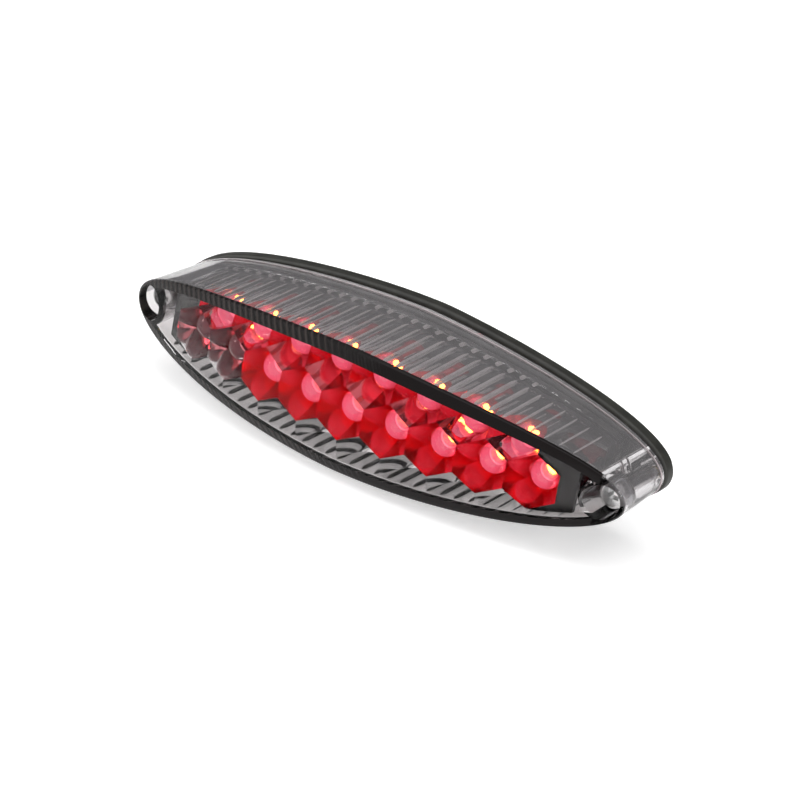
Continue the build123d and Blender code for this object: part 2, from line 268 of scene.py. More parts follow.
clear_lens = material("clear_lens", (0.76, 0.74, 0.74), 0.0, 0.0, Transmission_Weight=1.0, IOR=1.45)
vary(clear_lens, (0.74, 0.72, 0.72), (0.80, 0.78, 0.78), 60)
clear_face = material("clear_face", (0.86, 0.84, 0.84), 0.0, 0.0, Transmission_Weight=1.0, IOR=1.2,
                      Specular_Tint=(0.1, 0.1, 0.1, 1.0))
vary(clear_face, (0.84, 0.82, 0.82), (0.89, 0.87, 0.87), 60)
milky_wall = material("milky_wall", (0.60, 0.58, 0.59), 0.05, 0.0, Transmission_Weight=0.82, IOR=1.4)
vary(milky_wall, (0.56, 0.54, 0.55), (0.64, 0.62, 0.63), 160)
# Painted shade: a near-black band stands in for the dark look of the clear lens edge round the face, where
# the fluted wall is seen end-on.
painted_shade_rim = material("painted_shade_rim", (0.006, 0.004, 0.004), 0.2, 0.0, Specular_IOR_Level=0.14)


def painted_rope_shade():
    """Slanted ridges in the painted shade band round the face: lighter ridge colour is painted in for the
    flutes seen through the clear edge, and they fade out towards the right end.
    """
    tree = painted_shade_rim.node_tree
    shader = tree.nodes["Principled BSDF"]
    place = tree.nodes.new("ShaderNodeTexCoord")
    turn = tree.nodes.new("ShaderNodeMapping")
    turn.inputs["Rotation"].default_value = (0, math.radians(35), 0)
    wave = tree.nodes.new("ShaderNodeTexWave")
    wave.inputs["Scale"].default_value = 290.0
    wave.inputs["Distortion"].default_value = 1.2
    wave.inputs["Detail Scale"].default_value = 300.0
    split = tree.nodes.new("ShaderNodeSeparateXYZ")
    fade = tree.nodes.new("ShaderNodeMapRange")
    fade.inputs["From Min"].default_value = 8.0 * MM
    fade.inputs["From Max"].default_value = -8.0 * MM
    share = tree.nodes.new("ShaderNodeMath")
    share.operation = "MULTIPLY"
    ramp = tree.nodes.new("ShaderNodeValToRGB")
    ramp.color_ramp.elements[0].position = 0.45
    ramp.color_ramp.elements[0].color = (0.005, 0.0035, 0.0035, 1)
    ramp.color_ramp.elements[1].position = 1.0
    ramp.color_ramp.elements[1].color = (0.034, 0.027, 0.025, 1)
    ridge = tree.nodes.new("ShaderNodeBump")
    ridge.inputs["Strength"].default_value = 0.7
    ridge.inputs["Distance"].default_value = 0.12 * MM
    tree.links.new(place.outputs["Object"], turn.inputs["Vector"])
    tree.links.new(turn.outputs["Vector"], wave.inputs["Vector"])
    tree.links.new(place.outputs["Object"], split.inputs["Vector"])
    tree.links.new(split.outputs["X"], fade.inputs["Value"])
    tree.links.new(wave.outputs["Fac"], share.inputs[0])
    tree.links.new(fade.outputs["Result"], share.inputs[1])
    tree.links.new(share.outputs["Value"], ramp.inputs["Fac"])
    tree.links.new(share.outputs["Value"], ridge.inputs["Height"])
    tree.links.new(ramp.outputs["Color"], shader.inputs["Base Color"])
    tree.links.new(ridge.outputs["Normal"], shader.inputs["Normal"])


painted_rope_shade()
# Painted light: a pale grey that glows faintly stands in for overhead light on the upper ribs; the dark copy
# below is painted shade for the lower ribs.
rib_painted_light = material("rib_painted_light", (0.62, 0.59, 0.59), 0.3, 0.0, Transmission_Weight=0.4, IOR=1.3,
                    Emission_Color=(1.0, 0.95, 0.95, 1.0), Emission_Strength=0.10)
vary(rib_painted_light, (0.56, 0.53, 0.53), (0.68, 0.65, 0.65), 500)
rib_painted_shade = material("rib_painted_shade", grey(0.16), 0.3, 0.0, Transmission_Weight=0.5, IOR=1.3)
vary(rib_painted_shade, grey(0.12), grey(0.20), 500)
# Painted highlight: a pale pinkish colour stands in for the bright edge at the lens foot.
bead_painted_highlight = material("bead_painted_highlight", (0.60, 0.52, 0.53), 0.25, 0.0, Transmission_Weight=0.3, IOR=1.45)
vary(bead_painted_highlight, (0.54, 0.46, 0.47), (0.66, 0.58, 0.59), 400)
skirt_grey = material("skirt_grey", grey(0.16), 0.38, 0.8)
vary(skirt_grey, (0.13, 0.125, 0.125), (0.21, 0.205, 0.205), 300)
bump(skirt_grey, 900, 0.2, 0.00004)
plating = material("plating", grey(0.82), 0.06, 1.0)
vary(plating, grey(0.80), grey(0.90), 220)
# Painted light: a red tint on the plating stands in for the red LED light on the cups round the shining LEDs.
plating_painted_red_light = material("plating_painted_red_light", (0.66, 0.12, 0.15), 0.09, 1.0)
vary(plating_painted_red_light, (0.56, 0.07, 0.09), (0.74, 0.16, 0.19), 260)
shelf_dark = material("shelf_dark", grey(0.05), 0.25, 0.4)
vary(shelf_dark, grey(0.035), grey(0.06), 200)


def epoxy_material(name, glow):
    """Clear red-tinted epoxy that glows most at the tip of its dome, because the die shines forward."""
    made = material(name, (1.0, 0.28, 0.32), 0.02, 0.0, Transmission_Weight=1.0, IOR=1.5)
    tree = made.node_tree
    shader = tree.nodes["Principled BSDF"]
    ramp = tree.nodes.new("ShaderNodeValToRGB")
    ramp.color_ramp.elements[0].color = (0.85, 0.0, 0.01, 1.0)
    ramp.color_ramp.elements[1].color = (1.0, 0.15, 0.26, 1.0)
    place = tree.nodes.new("ShaderNodeTexCoord")
    split = tree.nodes.new("ShaderNodeSeparateXYZ")
    span = tree.nodes.new("ShaderNodeMapRange")
    span.interpolation_type = "SMOOTHSTEP"
    span.inputs["From Min"].default_value = -5.6 * MM
    span.inputs["From Max"].default_value = -LED_HEIGHT * MM
    gain = tree.nodes.new("ShaderNodeMapRange")
    gain.inputs["To Min"].default_value = glow * 0.16
    gain.inputs["To Max"].default_value = glow
    tree.links.new(place.outputs["Object"], split.inputs["Vector"])
    tree.links.new(split.outputs["Y"], span.inputs["Value"])
    tree.links.new(span.outputs["Result"], ramp.inputs["Fac"])
    tree.links.new(span.outputs["Result"], gain.inputs["Value"])
    tree.links.new(ramp.outputs["Color"], shader.inputs["Emission Color"])
    tree.links.new(gain.outputs["Result"], shader.inputs["Emission Strength"])
    return vary(made, (1.0, 0.22, 0.26), (1.0, 0.34, 0.38), 500)


epoxy = epoxy_material("epoxy", 0.72)
epoxy_dim = epoxy_material("epoxy_dim", 0.05)
lead_metal = material("lead_metal", grey(0.75), 0.25, 1.0)
vary(lead_metal, grey(0.68), grey(0.80), 900)
die_glow = material("die_glow", (1.0, 0.6, 0.15), 0.4)
die_glow.node_tree.nodes["Principled BSDF"].inputs["Emission Color"].default_value = (1.0, 0.42, 0.05, 1.0)
die_glow.node_tree.nodes["Principled BSDF"].inputs["Emission Strength"].default_value = 30.0
vary(die_glow, (1.0, 0.5, 0.1), (1.0, 0.7, 0.2), 4000)
die_dim = material("die_dim", (0.8, 0.2, 0.1), 0.4)
vary(die_dim, (0.7, 0.1, 0.05), (0.9, 0.3, 0.15), 4000)
housing_plastic = material("housing_plastic", (0.02, 0.02, 0.016), 0.55)
vary(housing_plastic, (0.014, 0.014, 0.011), (0.026, 0.026, 0.021), 400)
bump(housing_plastic, 2500, 0.25, 0.00005)
rubber = material("rubber", grey(0.015), 0.8)
vary(rubber, grey(0.011), grey(0.022), 500)
bump(rubber, 3500, 0.3, 0.00004)
foam = material("foam", grey(0.02), 0.95)
vary(foam, grey(0.012), grey(0.035), 1500)
bump(foam, 2200, 0.7, 0.0001)
board_black = material("board_black", grey(0.02), 0.3, 0.0, Coat_Weight=0.5)
zinc = material("zinc", (0.62, 0.64, 0.68), 0.32, 1.0)
vary(zinc, (0.52, 0.54, 0.58), (0.70, 0.71, 0.74), 350)
bump(zinc, 1800, 0.12, 0.00003)
steel = material("steel", grey(0.6), 0.25, 1.0)
vary(steel, grey(0.5), grey(0.68), 500)
brass = material("brass", (0.72, 0.53, 0.22), 0.3, 1.0)
vary(brass, (0.62, 0.45, 0.18), (0.78, 0.6, 0.28), 500)
solder = material("solder", grey(0.7), 0.3, 1.0)
vary(solder, grey(0.6), grey(0.78), 900)
beige = material("beige", (0.72, 0.56, 0.36), 0.45)
diode_black = material("diode_black", grey(0.02), 0.35)


def board_pattern():
    """Copper tracks under black solder mask, as a pattern of lighter lanes."""
    tree = board_black.node_tree
    place = tree.nodes.new("ShaderNodeTexCoord")
    bricks = tree.nodes.new("ShaderNodeTexBrick")
    bricks.inputs["Scale"].default_value = 150.0
    bricks.inputs["Mortar Size"].default_value = 0.06
    bricks.inputs["Color1"].default_value = (0.012, 0.012, 0.013, 1)
    bricks.inputs["Color2"].default_value = (0.017, 0.017, 0.018, 1)
    bricks.inputs["Mortar"].default_value = (0.045, 0.043, 0.04, 1)
    turn = tree.nodes.new("ShaderNodeMapping")
    turn.inputs["Rotation"].default_value = (math.radians(90), 0, 0)
    tree.links.new(place.outputs["Object"], turn.inputs["Vector"])
    tree.links.new(turn.outputs["Vector"], bricks.inputs["Vector"])
    tree.links.new(bricks.outputs["Color"], tree.nodes["Principled BSDF"].inputs["Base Color"])


def resistor_bands():
    """Coloured rings round a resistor's body."""
    tree = beige.node_tree
    place = tree.nodes.new("ShaderNodeTexCoord")
    wave = tree.nodes.new("ShaderNodeTexWave")
    wave.inputs["Scale"].default_value = 190.0
    ramp = tree.nodes.new("ShaderNodeValToRGB")
    ramp.color_ramp.elements[0].color = (0.72, 0.56, 0.36, 1)
    ramp.color_ramp.elements[0].position = 0.80
    ramp.color_ramp.elements[1].color = (0.32, 0.06, 0.02, 1)
    ramp.color_ramp.elements[1].position = 0.86
    tree.links.new(place.outputs["Object"], wave.inputs["Vector"])
    tree.links.new(wave.outputs["Fac"], ramp.inputs["Fac"])
    tree.links.new(ramp.outputs["Color"], tree.nodes["Principled BSDF"].inputs["Base Color"])


board_pattern()
resistor_bands()
vary(diode_black, grey(0.015), grey(0.03), 900)

# ---- Camera ----
AZIMUTH = 28.77
ELEVATION = 23.96
ROLL = 10.88
DISTANCE = 470.0
bearing = math.radians(AZIMUTH)
tilt = math.radians(ELEVATION)
lean = math.radians(ROLL)
back = Vector((math.sin(bearing) * math.cos(tilt), -math.cos(bearing) * math.cos(tilt), math.sin(tilt)))
level = Vector((math.cos(bearing), math.sin(bearing), 0.0))
upright = back.cross(level)
right = math.cos(lean) * level + math.sin(lean) * upright
up = -math.sin(lean) * level + math.cos(lean) * upright
camera = bpy.data.objects.new("camera", bpy.data.cameras.new("camera"))
bpy.context.scene.collection.objects.link(camera)
camera.matrix_world = Matrix((
    (right.x, up.x, back.x, back.x * DISTANCE * MM),
    (right.y, up.y, back.y, back.y * DISTANCE * MM),
    (right.z, up.z, back.z, back.z * DISTANCE * MM),
    (0, 0, 0, 1),
))
camera.data.sensor_width = 36.0
camera.data.lens = 131.85
camera.data.shift_x = -0.0425
camera.data.shift_y = -0.0341
camera.data.clip_start = 0.01
camera.data.clip_end = 20.0
bpy.context.scene.camera = camera

# ---- Floor, backdrop light and lamps ----
FLOOR_Z = -12.6
floor = new_object("floor", [(-3000, -3000, FLOOR_Z), (3000, -3000, FLOOR_Z), (3000, 3000, FLOOR_Z),
                             (-3000, 3000, FLOOR_Z)], [(0, 1, 2, 3)])
floor_paint = material("floor_paint", grey(0.92), 0.7)
vary(floor_paint, grey(0.90), grey(0.93), 3)
floor.data.materials.append(floor_paint)
floor_shader = floor_paint.node_tree.nodes["Principled BSDF"]
floor_shader.inputs["Emission Color"].default_value = (1, 1, 1, 1)
floor_sight = floor_paint.node_tree.nodes.new("ShaderNodeLightPath")
floor_gain = floor_paint.node_tree.nodes.new("ShaderNodeMath")
floor_gain.operation = "MULTIPLY_ADD"
floor_gain.inputs[1].default_value = 0.10
floor_gain.inputs[2].default_value = 0.35
floor_paint.node_tree.links.new(floor_sight.outputs["Is Camera Ray"], floor_gain.inputs[0])
floor_paint.node_tree.links.new(floor_gain.outputs["Value"], floor_shader.inputs["Emission Strength"])

world = bpy.data.worlds.new("studio")
bpy.context.scene.world = world
world.use_nodes = True


def studio_world():
    """A pale backdrop for the camera, and a dim room with a brighter front for reflections."""
    tree = world.node_tree
    plain = tree.nodes["Background"]
    plain.inputs["Color"].default_value = (1.0, 1.0, 1.0, 1)
    plain.inputs["Strength"].default_value = 0.95
    room = tree.nodes.new("ShaderNodeBackground")
    place = tree.nodes.new("ShaderNodeTexCoord")
    split = tree.nodes.new("ShaderNodeSeparateXYZ")
    ramp = tree.nodes.new("ShaderNodeValToRGB")
    span = tree.nodes.new("ShaderNodeMapRange")
    span.inputs["From Min"].default_value = -1.0
    span.inputs["From Max"].default_value = 1.0
    ramp.color_ramp.elements[0].position = 0.15
    ramp.color_ramp.elements[0].color = (0.85, 0.84, 0.84, 1)
    ramp.color_ramp.elements[1].position = 0.60
    ramp.color_ramp.elements[1].color = (0.09, 0.09, 0.095, 1)
    tree.links.new(place.outputs["Generated"], split.inputs["Vector"])
    tree.links.new(split.outputs["Y"], span.inputs["Value"])
    tree.links.new(span.outputs["Result"], ramp.inputs["Fac"])
    tree.links.new(ramp.outputs["Color"], room.inputs["Color"])
    path = tree.nodes.new("ShaderNodeLightPath")
    mix = tree.nodes.new("ShaderNodeMixShader")
    tree.links.new(path.outputs["Is Camera Ray"], mix.inputs["Fac"])
    tree.links.new(room.outputs["Background"], mix.inputs[1])
    tree.links.new(plain.outputs["Background"], mix.inputs[2])
    tree.links.new(mix.outputs["Shader"], tree.nodes["World Output"].inputs["Surface"])


studio_world()
bpy.context.scene.view_settings.view_transform = "Standard"
bpy.context.scene.view_settings.look = "None"


def lamp(name, place, size, power):
    """A rectangular lamp aimed at the light."""
    light = bpy.data.lights.new(name, "AREA")
    light.shape = "RECTANGLE"
    light.size = size[0]
    light.size_y = size[1]
    light.energy = power
    thing = bpy.data.objects.new(name, light)
    bpy.context.scene.collection.objects.link(thing)
    thing.location = place
    thing.rotation_euler = (-Vector(place)).to_track_quat("-Z", "Y").to_euler()


lamp("overhead", (0.0, -0.1, 1.1), (1.6, 1.4), 10.0)
lamp("left_strip", (-0.55, -0.35, 0.30), (0.12, 0.5), 1.6)
lamp("right_strip", (0.75, -0.25, 0.35), (0.15, 0.4), 1.6)


# ---- Outlines with points at equal arc lengths ----
def outline_shares(count):
    """Shares of the half-length and of the half-height round the eye shape, evenly spaced along its arc."""
    length, height = section_size(15.0)
    steps = 6000
    track = []
    for step in range(steps):
        angle = 2 * math.pi * step / steps
        share = -math.cos(angle)
        rise = (1 - abs(share) ** OUTLINE_POWER) ** OUTLINE_ROOT * (1 if math.sin(angle) >= 0 else -1)
        track.append((share, rise))
    path = np.array(track + [track[0]])
    spans = np.hypot(np.diff(path[:, 0]) * length / 2, np.diff(path[:, 1]) * height / 2)
    run = np.concatenate([[0], np.cumsum(spans)])
    wanted = np.linspace(0, run[-1], count, endpoint=False)
    return np.interp(wanted, run, path[:, 0]), np.interp(wanted, run, path[:, 1])


OUTLINE_COUNT = 1000
EDGE_BAND = 1.95
FOOT_STEP = 0.12
FOOT_STEP_BACK = 4.38
FOOT_STEP_FRONT = 4.78
FLUTE_PITCH = 2.31
FLUTE_CUT = 0.10
FLUTE_END = 9.2
FLUTE_RUN_OUT = 0.7
FLUTE_FADE = 3.0
RIB_HALF_WIDTH = 0.42
RIB_HEIGHT = 0.3
DASH_LOW = 6.7
DASH_HIGH = 8.1
DASH_SHARE = 0.8
DASH_LIMIT_X = 24.0
RIB_THIN_END_X = 34.0
RIB_THIN_SPAN = 14.0
RIB_FACE_GAP = 0.5
COLLAR_DEPTH = 15.6
COLLAR_REACH = 1.2
BAND_THICKNESS = 0.75
BAND_GAP = 0.45
BAND_END_X = SCREW_X - 0.6
MILKY_GAP = 0.9
BEAD_DEPTH = 4.3
BEAD_RADIUS = 0.22
FLUTE_HALF_LENGTH = 37.5


def flute(x, depth):
    """How far a flute cuts into the wall from inside. It stops short of the foot, with a dimple below."""
    if abs(x) > FLUTE_HALF_LENGTH:
        return 0.0
    wave = abs(math.sin(math.pi * x / FLUTE_PITCH))
    cut = 0.0
    if depth > FLUTE_END:
        cut = min(1.0, (depth - FLUTE_END) / FLUTE_RUN_OUT)
    elif DASH_LOW < depth < DASH_HIGH:
        cut = math.sin(math.pi * (depth - DASH_LOW) / (DASH_HIGH - DASH_LOW)) * DASH_SHARE
    fade = min(1.0, (FLUTE_HALF_LENGTH - abs(x)) / FLUTE_FADE)
    return FLUTE_CUT * wave * cut * fade


def lens_skin(name, inset, setback, foot, round_off, fluted):
    """A closed solid: tapering wall, rounded edge and crowned face."""
    count = OUTLINE_COUNT
    shares, rises = outline_shares(count)

    def place(i, depth, more=0.0):
        """One point of the outline at a depth, moved in by more than the inset."""
        length, height = section_size(depth)
        return shares[i] * (length / 2 - inset - more), rises[i] * (height / 2 - inset - more)

    def wall_point(i, depth):
        x, z = place(i, depth)
        out = 0.0
        if fluted:
            out = flute(x, depth)
        elif FOOT_STEP_BACK < depth < FOOT_STEP_FRONT:
            out = FOOT_STEP
        if abs(rises[i]) > 0.05:
            z += math.copysign(out, rises[i])
        return x, depth, z

    edges = []
    for i in range(count):
        depth = EDGE_DEPTH - setback
        for _ in range(12):
            x, z = place(i, depth)
            depth = front_depth(x, z, setback)
        edges.append(depth)
    if fluted:
        levels = [foot, 4.5, 6.3, 6.7, 6.95, 7.4, 7.85, 8.1, 8.8, 9.2, 9.55, 9.9]
    else:
        levels = [foot, 4.35, 4.4, 4.75, 4.8, 7.0, 9.5]
    rings = [[wall_point(i, depth) for i in range(count)] for depth in levels]
    last = levels[-1]
    for share in (0.25, 0.5, 0.75, 1.0):
        rings.append([wall_point(i, last + (edges[i] - round_off - last) * share) for i in range(count)])
    # rounded edge between wall and face
    turned = []
    for i in range(count):
        x, z = place(i, edges[i])
        inner = 1 - round_off / max(math.hypot(x, z), 4.0)
        end = (x * inner, front_depth(x * inner, z * inner, setback), z * inner)
        turned.append((rings[-1][i], (x, edges[i], z), end))
    for t in (0.25, 0.5, 0.75, 1.0):
        ring = []
        for start, corner, end in turned:
            ring.append(tuple((1 - t) ** 2 * a + 2 * t * (1 - t) * b + t * t * c
                              for a, b, c in zip(start, corner, end)))
        rings.append(ring)
    # the face: evenly inset rings as far as the dark band reaches, then shrinking ones
    for more in (0.9, 1.25, 1.6, EDGE_BAND):
        flat = [place(i, edges[i], more) for i in range(count)]
        rings.append([(x, front_depth(x, z, setback), z) for x, z in flat])
    rim = rings[-1]
    for share in (0.97, 0.93, 0.88, 0.8, 0.7, 0.58, 0.45, 0.3, 0.15):
        rings.append([(x * share, front_depth(x * share, z * share, setback), z * share) for x, _, z in rim])
    points = [(x, -depth, z) for ring in rings for x, depth, z in ring]
    faces = ring_faces(len(rings), count)
    middle = len(points)
    points.append((0, -front_depth(0, 0, setback), 0))
    top = (len(rings) - 1) * count
    faces += [(top + i, top + (i + 1) % count, middle) for i in range(count)]
    faces.append(tuple(range(count - 1, -1, -1)))
    return new_object(name, points, faces)


def round_tool(name, x, radius, low, high):
    """A closed round bar along Y, for cutting."""
    return revolve(name, [(0, low), (radius, low), (radius, high), (0, high)], (x, 0, 0), 64)


def make_lens():
    """The hollow lens with its two screw wells, and the face colours of its painted shade band, a painted
    shade collar in the left well, and its milky wall.
    """
    lens = lens_skin("lens", 0.0, 0.0, LENS_FOOT, 0.55, False)
    room = lens_skin("lens_room", LENS_WALL, LENS_FACE, LENS_FOOT - 1.0, 0.45, True)
    for side in (-1, 1):
        boolean(room, round_tool("pillar", side * SCREW_X, PILLAR_RADIUS, 0.0, CENTRE_DEPTH), "DIFFERENCE")
    boolean(lens, room, "DIFFERENCE")
    for side in (-1, 1):
        profile = [(0, SEAT_DEPTH), (WELL_RADIUS, SEAT_DEPTH), (WELL_RADIUS, COLLAR_DEPTH),
                   (WELL_RADIUS, CENTRE_DEPTH), (0, CENTRE_DEPTH)]
        boolean(lens, revolve("well", profile, (side * SCREW_X, 0, 0), 64), "DIFFERENCE")
        boolean(lens, round_tool("shaft", side * SCREW_X, SCREW_CLEARANCE, 0.0, SEAT_DEPTH + 1), "DIFFERENCE")
    lens.data.materials.clear()
    paints = (clear_lens, painted_shade_rim, clear_face, milky_wall)
    for paint in paints:
        lens.data.materials.append(paint)
    shares, rises = outline_shares(OUTLINE_COUNT)
    near = KDTree(len(shares))
    for i, (share, rise) in enumerate(zip(shares, rises)):
        near.insert((share * OVERALL_LENGTH / 2, rise * FRONT_HEIGHT / 2, 0), i)
    near.balance()
    for face in lens.data.polygons:
        x, depth, z = face.center.x / MM, -face.center.y / MM, face.center.z / MM
        gap = near.find((x, z, 0))[2]
        shallow = depth > front_depth(x, z) - BAND_THICKNESS
        outside = face.normal.y < -0.3 or gap < BAND_GAP
        length, height = section_size(front_depth(x, z))
        rim = abs(z) > half_height(x, length - 2 * EDGE_BAND, height - 2 * EDGE_BAND)
        on_well = abs(math.hypot(x + SCREW_X, z) - WELL_RADIUS) < 0.1
        painted_shade_collar = on_well and x < -SCREW_X + COLLAR_REACH and depth > COLLAR_DEPTH
        paint = clear_lens
        # Painted shade: the band round the face and the mouth of the left well get the near-black paint.
        if painted_shade_collar or (shallow and outside and rim and x < BAND_END_X):
            paint = painted_shade_rim
        elif abs(face.normal.y) > 0.7 and depth > front_depth(x, z) - LENS_FACE - 0.3:
            paint = clear_face
        elif abs(face.normal.y) < 0.4 and z > 0 and gap < MILKY_GAP:
            paint = milky_wall
        face.material_index = paints.index(paint)
    lens.data.shade_smooth()
    lens.data.set_sharp_from_angle(angle=math.radians(28))
    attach(lens, body_of_node["lens_cover"])
    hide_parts("lens_cover")


def bar(path, half_width, height):
    """Points and faces of a half-round bar. path holds base points with their outward and sideways ways."""
    arc = [math.pi * k / 6 for k in range(7)]
    points = []
    for place, rise, side in path:
        for angle in arc:
            points.append(tuple(Vector(place) + half_width * math.cos(angle) * Vector(side)
                                + height * math.sin(angle) * Vector(rise)))
    count = len(arc)
    faces = ring_faces(len(path), count)
    faces.append(tuple(range(count - 1, -1, -1)))
    faces.append(tuple((len(path) - 1) * count + k for k in range(count)))
    return points, faces


def make_ribs():
    """Prism ribs on the inside of the lens wall, most of them with a short one behind. The upper ribs carry
    the painted light material and the lower ones the painted shade copy.
    """
    points, faces, slots = [], [], []

    def wall_z(x, depth, sign, inset):
        length, height = section_size(depth)
        return sign * half_height(x, length - 2 * inset, height - 2 * inset)

    def add_bar(x, sign, low, high):
        path = []
        for share in (0.0, 0.04, 0.1, 0.3, 0.5, 0.7, 0.9, 0.96, 1.0):
            depth = low + (high - low) * share
            swell = 0.02 + 0.98 * min(1.0, math.sqrt(max(0.0, min(share, 1 - share) / 0.1)))
            z = wall_z(x, depth, sign, LENS_WALL + 0.01)
            ahead = wall_z(x + 0.05, depth, sign, LENS_WALL)
            slope = (ahead - wall_z(x - 0.05, depth, sign, LENS_WALL)) / 0.1
            side = Vector((1, 0, slope)).normalized()
            rise = Vector((-side.z, 0, side.x)) * -sign
            path.append(((x, -depth, z), rise * swell, side * swell))
        thin = min(1.0, max(0.35, (RIB_THIN_END_X - x) / RIB_THIN_SPAN))
        made, quads = bar(path, RIB_HALF_WIDTH * thin, RIB_HEIGHT * thin)
        first = len(points)
        points.extend(made)
        faces.extend(tuple(first + k for k in quad) for quad in quads)
        # Upper ribs get the pale glowing copy as painted light, lower ribs the dark copy as painted shade.
        slots.extend([0 if sign > 0 else 1] * len(quads))

    count = int(FLUTE_HALF_LENGTH / FLUTE_PITCH)
    for k in range(-count, count + 1):
        x = k * FLUTE_PITCH
        for sign in (-1, 1):
            z = wall_z(x, 20.0, sign, LENS_WALL)
            add_bar(x, sign, FLUTE_END, front_depth(x, z, LENS_FACE) - RIB_FACE_GAP)
            if x < DASH_LIMIT_X:
                add_bar(x, sign, DASH_LOW, DASH_HIGH)
    ribs = new_object("lens_ribs", points, faces, 40.0, slots)
    ribs.data.materials.append(rib_painted_light)
    ribs.data.materials.append(rib_painted_shade)
    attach(ribs, body_of_node["lens_cover"])
    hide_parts("lens_cover")


def make_bead():
    """A thin raised line round the foot of the lens, pale pink as a painted highlight of its edge."""
    count = 500
    shares, rises = outline_shares(count)
    length, height = section_size(BEAD_DEPTH)
    rings = []
    for k in range(8):
        angle = 2 * math.pi * k / 8
        out = BEAD_RADIUS * math.cos(angle) - 0.05
        depth = BEAD_DEPTH + BEAD_RADIUS * math.sin(angle)
        rings.append([(share * (length / 2 + out), -depth, rise * (height / 2 + out))
                      for share, rise in zip(shares, rises)])
    rings.append(rings[0])
    points = [point for ring in rings for point in ring]
    bead = new_object("lens_foot_bead", points, ring_faces(len(rings), count), 60.0)
    bead.data.materials.append(bead_painted_highlight)
    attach(bead, body_of_node["lens_cover"])
    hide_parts("lens_cover")


# ---- Reflector ----
def clip_by_outline(polygon, limit):
    """Keeps what lies inside the convex outline (Sutherland and Hodgman)."""
    kept = polygon
    for k in range(len(limit)):
        ax, az = limit[k]
        bx, bz = limit[(k + 1) % len(limit)]
        source, kept = kept, []
        for i in range(len(source)):
            p = source[i]
            q = source[(i + 1) % len(source)]
            sp = (bx - ax) * (p[1] - az) - (bz - az) * (p[0] - ax)
            sq = (bx - ax) * (q[1] - az) - (bz - az) * (q[0] - ax)
            if sp >= 0:
                kept.append(p)
            if (sp >= 0) != (sq >= 0):
                t = sp / (sp - sq)
                kept.append((p[0] + (q[0] - p[0]) * t, p[1] + (q[1] - p[1]) * t))
        if not kept:
            return []
    return kept


def reflector_outline(inset):
    """The reflector's outline, counter-clockwise seen with X right and Z up."""
    length = OVERALL_LENGTH - 2 * inset
    height = section_size(EDGE_DEPTH)[1] - 2 * inset
    steps = [REFLECTOR_HALF_LENGTH * (i / 30 - 1) for i in range(61)]
    lower = [(x, -half_height(x, length, height)) for x in steps]
    return lower + [(x, -z) for x, z in reversed(lower)]


def hexagon(cx, cz):
    """The six corners of a cell, with a flat side on its left and on its right."""
    reach = CELL_PITCH / math.sqrt(3)
    corners = [math.radians(30 + 60 * k) for k in range(6)]
    return [(cx + reach * math.cos(corner), cz + reach * math.sin(corner)) for corner in corners]


def hex_norm(px, pz):
    """1 on the side of a cell centred on the origin, 0 at its centre."""
    slant = pz * math.sqrt(3) / 2
    return max(abs(px), abs(px / 2 + slant), abs(px / 2 - slant)) / (CELL_PITCH / 2)


def subdivide(polygon, span=0.62):
    """Corner points and even points between them, the same from either end of a side."""
    points = []
    for i in range(len(polygon)):
        p = polygon[i]
        q = polygon[(i + 1) % len(polygon)]
        parts = max(1, round(math.hypot(q[0] - p[0], q[1] - p[1]) / span))
        for k in range(parts):
            points.append((p[0] + (q[0] - p[0]) * k / parts, p[1] + (q[1] - p[1]) * k / parts))
    return points


